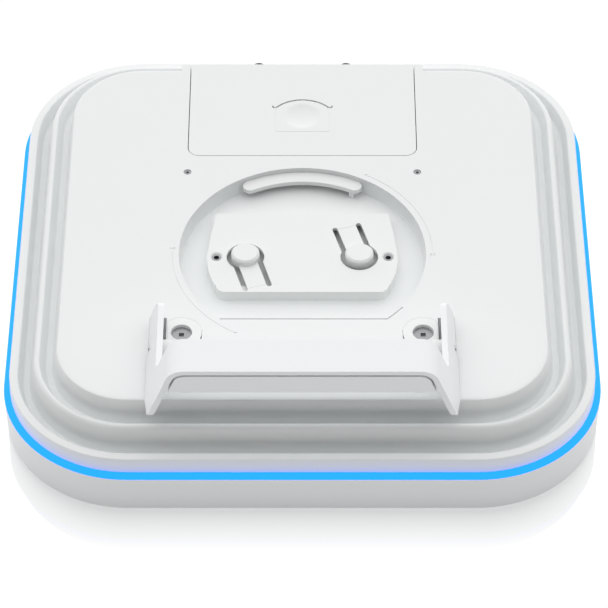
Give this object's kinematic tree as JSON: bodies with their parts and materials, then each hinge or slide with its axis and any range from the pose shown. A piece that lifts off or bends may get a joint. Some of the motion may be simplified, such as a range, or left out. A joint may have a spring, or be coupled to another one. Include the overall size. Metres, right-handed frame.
{
  "type": "ceiling access point",
  "caption": "Square wireless access point with a stepped back, waist light ring, twist-lock mounting recess, cable cover and a tilting yoke on hinge feet.",
  "frame": {"origin": "centre of the radome's face, which the access point lies on", "axes": "+Z from the radome's face to the mounting back; -Y towards the yoke, +Y towards the cable cover; +X right with the yoke in front"},
  "size_m": [0.356, 0.356, 0.1045],
  "materials": {
    "radome_white": "fine moulded texture",
    "housing_white": "fine moulded texture",
    "hub_white": "smooth moulded",
    "cover_white": "fine moulded texture",
    "foot_white": "smooth moulded",
    "yoke_white": "satin powder coat",
    "light_blue": "lit translucent light guide",
    "led_white": "moulded lens",
    "seal_rubber": "matt",
    "board_green": "solder resist",
    "insert_steel": "turned",
    "screw_steel": "plated",
    "bay_grey": "moulded",
    "jack_black": "moulded",
    "contact_gold": "gold plated",
    "plain_aluminium": "rolled",
    "can_tin": "tinned",
    "pad_blue": "soft",
    "patch_copper": "bare copper",
    "standoff_nylon": "moulded"
  },
  "bodies": {
    "body": {"radome": "radome_white", "body_gasket": "seal_rubber", "light_ring": "light_blue", "light_board": "board_green", "light_leds": "led_white", "rear_housing": "housing_white", "housing_rim": "housing_white", "recess_wall": "housing_white", "left_tail_tub": "housing_white", "right_tail_tub": "housing_white", "mounting_plate": "housing_white", "mount_hub": "hub_white", "retaining_lip": "hub_white", "threaded_inserts": "insert_steel", "housing_screws": "screw_steel", "cable_bay": "bay_grey", "bay_gasket": "seal_rubber", "cable_grommets": "seal_rubber", "data_jacks": "jack_black", "jack_contacts": "contact_gold", "chassis_plate": "plain_aluminium", "chassis_screws": "screw_steel", "frame_posts": "plain_aluminium", "board_standoffs": "screw_steel", "board_screws": "screw_steel", "main_board": "board_green", "shield_cans": "can_tin", "thermal_pads": "pad_blue", "heat_spreader": "plain_aluminium", "antenna_board": "board_green", "antenna_patches": "patch_copper", "antenna_standoffs": "standoff_nylon", "left_hinge_foot": "foot_white", "right_hinge_foot": "foot_white", "hinge_screws": "screw_steel", "pivot_pins": "screw_steel", "pivot_washers": "screw_steel"},
    "left_button": {"left_latch_button": "hub_white"},
    "right_button": {"right_latch_button": "hub_white"},
    "cover": {"cable_cover": "cover_white"},
    "latch": {"cover_latch": "cover_white"},
    "reset": {"reset_button": "jack_black"},
    "yoke": {"yoke_arch": "yoke_white", "yoke_grip": "yoke_white"}
  },
  "joints": [
    {"name": "yoke_tilt", "type": "hinge", "parent": "body", "child": "yoke", "pos_m": [0, -0.10904, 0.065], "axis": [-1, 0, 0], "range_deg": [0, 60]},
    {"name": "left_button_press", "type": "hinge", "parent": "body", "child": "left_button", "pos_m": [-0.02724, -0.04857, 0.0551], "axis": [-0.9613, -0.2756, 0], "range_deg": [0, 6], "stiffness_Nm_per_rad": 1},
    {"name": "right_button_press", "type": "hinge", "parent": "body", "child": "right_button", "pos_m": [0.02724, 0.00277, 0.0551], "axis": [0.9613, 0.2756, 0], "range_deg": [0, 6], "stiffness_Nm_per_rad": 1},
    {"name": "cover_lift", "type": "slide", "parent": "body", "child": "cover", "axis": [0, 0, 1], "range_m": [0, 0.035]},
    {"name": "cover_latch_press", "type": "hinge", "parent": "cover", "child": "latch", "pos_m": [0, 0.086, 0.05875], "axis": [-1, 0, 0], "range_deg": [0, 6], "stiffness_Nm_per_rad": 0.8},
    {"name": "reset_press", "type": "slide", "parent": "body", "child": "reset", "axis": [0, -1, 0], "range_m": [0, 0.0012], "stiffness_N_per_m": 600}
  ]
}
